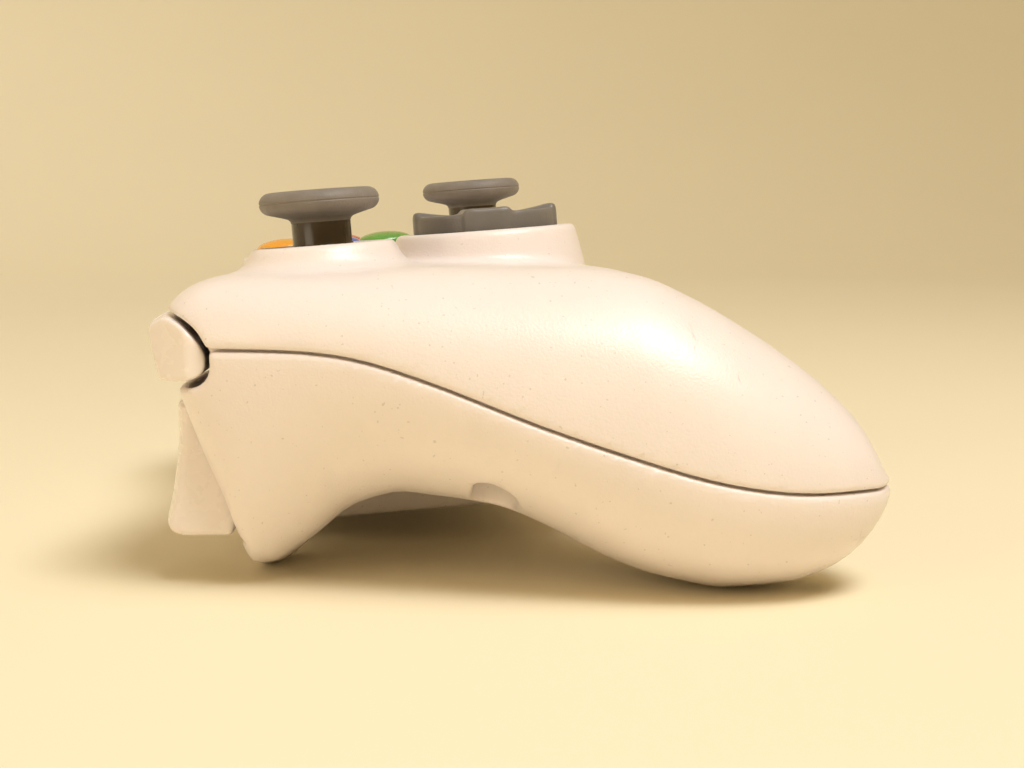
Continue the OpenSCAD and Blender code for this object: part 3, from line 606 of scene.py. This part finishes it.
def face_buttons():
    """Plan place of each face button, by its colour."""
    turn = {"amber": 90, "red": 0, "blue": 180, "green": 270}
    along = BUTTON_RING * math.cos(FACE_TILT)
    return {k: (FACE_GROUP[0] + BUTTON_RING * math.cos(math.radians(a)),
                FACE_GROUP[1] + along * math.sin(math.radians(a))) for k, a in turn.items()}


def top_shell(step):
    f = Field((-78, -56, 13), (78, 55, 53.5), step)
    body, seam = body_field(f)
    outer = join(unit_slope(body, step), cone(f, LEFT_STICK, STICK_POD_R, 0.425), 2.4)
    outer = join(outer, cone(f, RIGHT_STICK, STICK_POD_R, 0.425), 2.4)
    outer = join(outer, cone(f, DPAD, DPAD_POD_R, 0.2), 1.6)
    outer = join(outer, cone(f, FACE_GROUP, 17.5, 0.3, -2.6), 1.6)
    shell = np.maximum(outer, -(outer + WALL))
    for place in (LEFT_STICK, RIGHT_STICK):
        shell = cut(shell, face_hole(f, place, STICK_HOLE_R), 0.9)
    shell = cut(shell, face_hole(f, DPAD, DPAD_HOLE_R), 0.9)
    for place in face_buttons().values():
        shell = cut(shell, face_hole(f, place, FACE_BUTTON_R + 0.25), 0.6)
    shell = cut(shell, face_hole(f, GUIDE, GUIDE_RING_R + 0.1), 0.4)
    for x in (-MENU[0], MENU[0]):
        shell = cut(shell, face_hole(f, (x, MENU[1]), MENU_R + 0.25), 0.5)
    for x, y, shelf in SCREWS:
        r = np.hypot(np.abs(f.x) - x, f.y - y)
        boss = np.maximum(np.maximum(r - 3.6, shelf + 2 - f.z), outer + 1)
        shell = np.minimum(shell, np.maximum(boss, np.minimum(1.35 - r, shelf + 12.1 - f.z)))
    weight = np.hypot(np.abs(f.x) - MOTOR[0], f.y - MOTOR[1])
    shell = cut(shell, np.maximum(weight - WEIGHT_ROOM_R, f.z - WEIGHT_ROOM_TOP), 0.3)
    shell = shell_openings(f, shell)
    return f.mesh("top_shell", soften(meet(shell, seam + RIM_GAP / 2 - f.z, RIM_ROUND), 1), THINNING)


def bottom_shell(step):
    f = Field((-78, -56, -1), (78, 55, 38), step)
    body, seam = body_field(f)
    body = unit_slope(body, step)
    shell = np.maximum(body, -(body + WALL))
    side = np.abs(f.x)
    about_pack = f.face((0, PACK_Y))
    walls = box_between(about_pack, (-20.2, -27.2, -42), (20.2, 31, -25.4))
    shell = np.minimum(shell, np.maximum(walls, body + 0.6))
    for x, y, shelf in SCREWS:
        r = np.hypot(side - x, f.y - y)
        mouth = np.hypot(side - np.clip(side, x, x + WELL_MOUTH.get(x, 0)), f.y - y)
        shell = np.minimum(shell, np.maximum(np.maximum(mouth - WELL_WALL_R, f.z - shelf - 2), body + 0.3))
        shell = cut(shell, np.maximum(mouth - WELL_R, f.z - shelf), 0.5)
        shell = np.maximum(shell, 1.4 - r)
    motor = np.hypot(side - MOTOR[0], f.y - MOTOR[1])
    cradle = np.maximum(np.maximum(motor - 12.1, 10.6 - motor), f.z - 20)
    shell = np.minimum(shell, np.maximum(cradle, body + 0.6))
    shell = cut(shell, box_between(about_pack, (-18.6, PACK_REAR, -60), (18.6, 45, -27)), 0.5)
    reach = TRIGGER_HALF + 0.35
    opening = box_between((side, f.y, f.z), (TRIGGER_X - reach, 38, 6.4), (TRIGGER_X + reach, 65, 27.6))
    shell = shell_openings(f, cut(shell, opening, 0.3))
    shell = soften(meet(shell, f.z - (seam - RIM_GAP / 2), RIM_ROUND), 1)
    tongue = np.maximum(np.maximum(body + 1.85, -(body + 2.6)), np.abs(f.z - seam - 0.15) - 1.35)
    return f.mesh("bottom_shell", np.minimum(shell, shell_openings(f, tongue)), THINNING)


# How far the mesh may leave out points where a shell is flat.
piece("top_shell_skin", top_shell(TOP_STEP), WHITE, "pad", "white_plastic", "top_shell")
piece("bottom_shell_skin", bottom_shell(BOTTOM_STEP), WHITE, "pad", "white_plastic", "bottom_shell")


# ---- Shoulders ----
def bridge():
    f = field_around("shoulder_bridge", 0.25)
    side = np.abs(f.x)
    body = np.maximum(polygon_field(f.x, f.y, BRIDGE), np.abs(f.z - 34.3) - 5.3)
    for low, high in ((29, 30.2), (38.4, 39.6)):
        body = np.minimum(body, box_between((side, f.y, f.z), (18, 42.6, low), (21, 48, high)))
    body = soften(cut(body, f.box((-3.8, 40, 32), (3.8, 55, 34.8), 0.4), 0.3), 4)
    body = cut(body, np.hypot(f.x - SYNC[0], f.z - SYNC[1]) - 2.1, 0.3)
    pin = np.maximum(np.hypot(side - HINGE[0], f.y - HINGE[1]) - 1, np.abs(f.z - 34.3) - 4.3)
    return f.mesh("shoulder_bridge", np.minimum(body, pin))


def bumper(node, hand):
    """A faceted shoulder button: flat end, chamfered corner, sloped top and a bowed front."""
    f = field_around(node, 0.24)
    x = hand * f.x
    ahead = f.y - np.interp(x, *np.array(BUMPER_FRONT, float).T)
    rear = rounded_outline(f.y, f.z, [(44.4, 31.6), (46.9, 30.2), (60, 31.2), (60, 39.7), (49.4, 39.7),
                                      (44.4, 34.8)], 2.2)
    front = rounded_outline(ahead, f.z, [(-20, 28), (-2.2, 28), (-0.2, 35.7), (0, 38.1), (-2.7, 39.8),
                                         (-20, 39.8)], 0.5)
    chamfer = (x - 60.8) * 0.759 + (f.y - 47.2) * 0.651
    body = soften(meet_all([rear, front, x - 60.7, chamfer, 22 - x], 0.45), 1)
    arm = box_between((x, f.y, f.z), (HINGE[0] + 1, HINGE[1] - 0.8, 31.4), (24, HINGE[1] + 1.6, 36), 0.3)
    about_pin = np.hypot(x - HINGE[0], f.y - HINGE[1])
    barrel = np.maximum(about_pin - 2.2, np.abs(f.z - 34.3) - 3.7)
    body = join(join(body, arm, 0.6), barrel, 0.5)
    plunger = np.hypot(x - SWITCH[0], f.z - SWITCH[1])
    body = np.maximum(body, -np.maximum(plunger - SWITCH_ROOM_R, f.y - SWITCH_ROOM_FRONT))
    return f.mesh(node, np.maximum(body, 1.05 - about_pin))


def trigger(node, hand):
    """A hollow finger lever whose face is crowned across its width."""
    f = field_around(node, 0.24, 2.2)
    from_middle = hand * f.x - TRIGGER_X
    crown = 1.4 * (1 - (from_middle / TRIGGER_HALF) ** 2)
    forward = f.y - crown * ease(42, 48, f.y) * (1 - ease(26, 28.5, f.z))
    ends = np.abs(from_middle) - TRIGGER_HALF
    body = meet(polygon_field(forward, f.z, TRIGGER), ends, 1.1)
    about_pin = np.hypot(f.y - TRIGGER_PIN[0], f.z - TRIGGER_PIN[1])
    body = np.minimum(body, np.maximum(about_pin - 2.6, ends))
    body = soften(body, 4)
    hollow = np.maximum(polygon_field(f.y, f.z, TRIGGER_HOLLOW), ends + 1.5)
    body = cut(body, hollow, 0.4)
    leg = box_between((from_middle, f.y, f.z), (-0.8, 38, 24.8), (0.8, 43, 26))
    body = np.maximum(body, -np.minimum(leg, np.maximum(about_pin - 3.4, np.abs(from_middle) - 6)))
    return f.mesh(node, np.maximum(body, 1.3 - about_pin))


piece("shoulder_bridge_skin", bridge(), TRIM, "pad", "trim_plastic", "shoulder_bridge")
for hand, side_name in ((-1, "left"), (1, "right")):
    for kind, build in (("bumper", bumper), ("trigger", trigger)):
        node = f"{side_name}_{kind}"
        piece(f"{node}_skin", build(node, hand), TRIM, node, "trim_plastic", node)


# ---- Thumbsticks ----
def stick_stem(name, place, rise):
    """Dome that closes the pod's hole, with the stem on it."""
    top = rise - PIVOT_W
    inner, outer = 9.2, 10.0
    neck = math.degrees(math.acos(STEM_R / outer))
    profile = [(SHAFT_R, 6.2), (2.6, 6.2)]
    profile += arc((0, 0), inner, 73, 32, 16)
    profile += arc((0, 0), outer, 32, neck - 3, 14)
    profile += [(STEM_R + 0.25, outer * math.sin(math.radians(neck)) + 0.1), (STEM_R, 9.6)]
    profile += [(STEM_R, top - 5), (SHAFT_R, top - 5)]
    return revolve(name, profile, 96, on_face(place, PIVOT_W))


def stick_top(name, place, rise):
    """Rubber cap with a rounded rim, a fine mould line round it and a shallow dish on top."""
    top = rise - PIVOT_W
    rim = (CAP_R - 1.7, top - 1.9)
    profile = [(SHAFT_R, top - 5), (STEM_R, top - 5)]
    profile += [(STEM_R + 0.1, top - 4.7), (STEM_R + 0.4, top - 4.4), (STEM_R + 1.1, top - 4.15)]
    profile += arc(rim, 1.7, -75, -6, 12)
    profile += [(CAP_R - 0.1, top - 1.95), (CAP_R - 0.1, top - 1.85)]
    profile += arc(rim, 1.7, 6, 100, 16)
    profile += [(CAP_R - 3, top - 0.35), (CAP_R - 3.8, top - 0.62), (CAP_R - 5, top - 0.85)]
    profile += [(2, top - 0.98), (0, top - 1), (0, top - 1.6), (SHAFT_R, top - 1.6)]
    return revolve(name, profile, 96, on_face(place, PIVOT_W))


for side_name, place, rise in (("left", LEFT_STICK, LEFT_CAP_RISE), ("right", RIGHT_STICK, RIGHT_CAP_RISE)):
    node, body = f"{side_name}_stick_cap", f"{side_name}_stick"
    piece(f"{side_name}_stick_top", stick_top(node, place, rise), CAP, body, "control_grey", node)
    stem = stick_stem(f"{side_name}_stem", place, rise)
    piece(f"{side_name}_stick_stem", stem, STEM, body, "control_grey", node)


# ---- D-pad ----
def dpad():
    """A cross on a round disc, both dished, with the post and pin that it tilts on."""
    f = field_around("dpad_disc", 0.2, 1.6)
    u, v, w = f.face(DPAD)
    r = np.hypot(u, v)
    dish = DPAD_TOP - 0.8 + r * r / 100
    cross = np.minimum(np.maximum(np.abs(u) - 11.75, np.abs(v) - 3.85),
                       np.maximum(np.abs(v) - 11.75, np.abs(u) - 3.85))
    cross = meet(np.maximum(cross, r - 12), w - dish, 1.1)
    disc = meet(r - 11.75, w - dish + 0.8, 0.6)
    body = soften(np.maximum(np.minimum(disc, cross), -2.2 - w), 5)
    post = np.maximum(r - 2.4, np.maximum(w + 2, DPAD_PIVOT_W - 1 - w))
    pin = np.maximum(np.hypot(u, w - DPAD_PIVOT_W) - 0.8, np.abs(v) - 6.4)
    return f.mesh("dpad", np.minimum(join(body, post, 0.8), pin))


piece("dpad_cross", dpad(), DPAD_GREY, "dpad", "dpad_grey", "dpad_disc")


# ---- Buttons ----
def push_button(name, place, r, top, crown, flange, plunger):
    """A domed button with a softened edge, a flange under the shell and a plunger to its switch."""
    inner = min(3, r - 1)
    profile = [(0, plunger), (inner, plunger), (inner, flange - 1), (r + 0.9, flange - 1), (r + 0.9, flange),
               (r, flange), (r, top - crown)]
    profile += [(r * math.cos(a), top - crown + crown * math.sin(a))
                for a in np.linspace(0.08, math.pi / 2, 16)[:-1]]
    return revolve(name, profile + [(0, top)], 72, on_face(place))


for colour, place in face_buttons().items():
    node = f"button_{colour}"
    mesh = push_button(node, place, FACE_BUTTON_R, 0.5, 1.9, -6.2, -14.3)
    piece(f"{node}_dome", mesh, BUTTONS[colour], node, f"{colour}_clear", node)
for node, x in (("back_button", -MENU[0]), ("start_button", MENU[0])):
    mesh = push_button(node, (x, MENU[1]), MENU_R, -2.9, 0.9, -6.4, -14.9)
    piece(f"{node}_dome", mesh, DPAD_GREY, node, "control_grey", node)
guide = push_button("guide", GUIDE, GUIDE_R, -1.8, 1.6, -7.2, -15.2)
piece("guide_button_dome", guide, SILVER, "guide_button", "silver_plastic", "guide_button")
ring_inner = GUIDE_R + 0.15
ring = [(ring_inner, -6.3), (GUIDE_RING_R, -6.3), (GUIDE_RING_R, -3.4)]
ring += arc((GUIDE_RING_R - 0.4, -3.4), 0.4, 0, 90, 6) + arc((ring_inner + 0.4, -3.4), 0.4, 90, 180, 6)
ring_slot = next(p["material_slot"] for p in frame["record"]["subparts"] if p["node"] == "guide_ring")
piece("guide_ring_band", revolve("ring", ring, 96, on_face(GUIDE)), SILVER, "pad", ring_slot, "guide_ring")


# ---- Battery pack ----
def battery_cover():
    f = field_around("battery_cover", 0.32)
    u, v, w = f.face((0, PACK_Y))
    rear, front = PACK_REAR + 0.2, PACK_FRONT
    outline = [(rear, CASE_BOTTOM), (rear, -44), (rear + 2.2, PACK_BOTTOM), (front - 2, PACK_BOTTOM),
               (front, -44), (front, CASE_BOTTOM)]
    body = meet(polygon_field(v, w, outline), np.abs(u) - 20, 1.6)
    end = box_between((u, v, w), (-18.2, 28.8, CASE_BOTTOM - 1), (18.2, front, -29), 0.3)
    body = soften(np.minimum(body, end), 3)
    for k in range(5):
        start = 18 + 1.8 * k
        groove = box_between((u, v, w), (-7, start, PACK_BOTTOM - 1), (7, start + 0.8, PACK_BOTTOM + 0.35))
        body = cut(body, groove, 0.2)
    hollow = box_between((u, v, w), (-15.6, -24, PACK_BOTTOM + 1.4), (15.6, 27, CASE_BOTTOM + 1))
    return f.mesh("battery_cover", np.maximum(body, -hollow))


def battery_case():
    f = field_around("battery_case", 0.32)
    about_pack = f.face((0, PACK_Y))
    body = box_between(about_pack, (-18.2, PACK_REAR + 0.3, CASE_BOTTOM), (18.2, 28.8, CASE_TOP), 0.7)
    hollow = box_between(about_pack, (-15.6, -24, CASE_BOTTOM - 1), (15.6, 27, CASE_TOP - 1.2))
    return f.mesh("battery_case", np.maximum(body, -hollow))


def battery_latch():
    """Release tab with four finger ridges."""
    f = field_around("battery_latch", 0.1, 0.5)
    u, v, w = f.face((0, PACK_Y))
    body = box_between((u, v, w), (-4, PACK_FRONT, -36), (4, PACK_FRONT + 0.8, -31), 0.3)
    for k in range(4):
        slot = np.maximum(np.abs(w + 34.9 - 0.95 * k) - 0.2, PACK_FRONT + 0.55 - v)
        body = cut(body, np.maximum(slot, np.abs(u) - 3.2), 0.1)
    return f.mesh("battery_latch", body)


piece("battery_cover_skin", battery_cover(), WHITE, "battery_pack", "white_plastic", "battery_cover")
piece("battery_case_skin", battery_case(), TRIM, "battery_pack", "trim_plastic", "battery_case")
piece("battery_latch_skin", battery_latch(), TRIM, "battery_latch", "trim_plastic", "battery_latch")

# ---- Finish for the CAD nodes that stay ----
SLOT_MATERIALS = {
    "white_plastic": WHITE, "trim_plastic": TRIM, "control_grey": CAP, "dpad_grey": DPAD_GREY,
    "dark_plastic": DARK, "steel": STEEL, "amber_clear": BUTTONS["amber"], "red_clear": BUTTONS["red"],
    "blue_clear": BUTTONS["blue"], "green_clear": BUTTONS["green"], "silver_plastic": SILVER,
    "silicone": SILICONE, "board_green": BOARD, "led": LED, "cell_wrap": CELL}
for part in frame["record"]["subparts"]:
    obj = frame["nodes"][part["node"]]
    obj.data.materials.clear()
    obj.data.materials.append(SLOT_MATERIALS[part["material_slot"]])

# ---- Camera, floor and light ----
camera = bpy.data.objects.new("camera", bpy.data.cameras.new("camera"))
bpy.context.collection.objects.link(camera)
bpy.context.scene.camera = camera
camera.data.sensor_width = 36
camera.data.lens = 57.06
camera.data.clip_start = 0.01
camera.location = (-0.288, 0.01765, 0.0533)
CAMERA_YAW, CAMERA_PITCH = math.radians(3.97), math.radians(5.84)
camera.rotation_euler = (math.pi / 2 - CAMERA_PITCH, 0, -math.pi / 2 - CAMERA_YAW)


def floor_sweep():
    """Pale floor that curves up into a backdrop, all round the object."""
    floor_r, bend, height = 1.3, 1.1, 3.5
    outline = [(floor_r * k / 5, 0) for k in range(1, 6)]
    outline += [(floor_r + bend * math.sin(a), bend * (1 - math.cos(a))) for a in np.radians(range(6, 91, 6))]
    outline.append((floor_r + bend, height))
    turns = 96
    bm = bmesh.new()
    rings = [[bm.verts.new((r * math.cos(2 * math.pi * k / turns), r * math.sin(2 * math.pi * k / turns), h))
              for k in range(turns)] for r, h in outline]
    hub = bm.verts.new((0, 0, 0))
    for k in range(turns):
        bm.faces.new((hub, rings[0][k], rings[0][(k + 1) % turns]))
        for a, b in zip(rings, rings[1:]):
            bm.faces.new((a[k], b[k], b[(k + 1) % turns], a[(k + 1) % turns]))
    mesh = bpy.data.meshes.new("floor")
    bm.to_mesh(mesh)
    bm.free()
    mesh.polygons.foreach_set("use_smooth", [True] * len(mesh.polygons))
    obj = bpy.data.objects.new("floor", mesh)
    bpy.context.collection.objects.link(obj)
    paper = material("floor_paper", (0.91, 0.81, 0.58), 0.8, vary=0.006, vary_scale=3, grain=0.1)
    mesh.materials.append(paper)


def aim(lamp, place, target):
    lamp.location = place
    lamp.rotation_mode = "QUATERNION"
    lamp.rotation_quaternion = (Vector(target) - Vector(place)).to_track_quat("-Z", "Y")
    bpy.context.collection.objects.link(lamp)


def sun_light(name, place, strength, spread, color):
    """Even light from far off, with soft shadows."""
    lamp = bpy.data.objects.new(name, bpy.data.lights.new(name, "SUN"))
    lamp.data.energy = strength
    lamp.data.angle = math.radians(spread)
    lamp.data.color = color
    aim(lamp, place, (0, 0, 0.03))


def area_light(name, place, size, power, color):
    lamp = bpy.data.objects.new(name, bpy.data.lights.new(name, "AREA"))
    lamp.data.shape = "RECTANGLE"
    lamp.data.size, lamp.data.size_y = size
    lamp.data.energy = power
    lamp.data.color = color
    aim(lamp, place, (0, 0, 0.03))


floor_sweep()
bpy.context.scene.view_settings.view_transform = "Standard"
sun_light("sky", (-0.30, -0.45, 1.0), 1.22, 35, (1, 0.985, 0.985))
area_light("key", (-0.38, -0.22, 0.70), (0.36, 0.26), 3.3, (1, 0.99, 0.97))
area_light("front_fill", (-0.7, 0.9, 0.35), (0.6, 0.6), 1.9, (1, 0.88, 0.70))
world = bpy.data.worlds.new("studio")
bpy.context.scene.world = world
world.use_nodes = True
world.node_tree.nodes["Background"].inputs["Color"].default_value = (1, 0.92, 0.78, 1)
world.node_tree.nodes["Background"].inputs["Strength"].default_value = 0.40
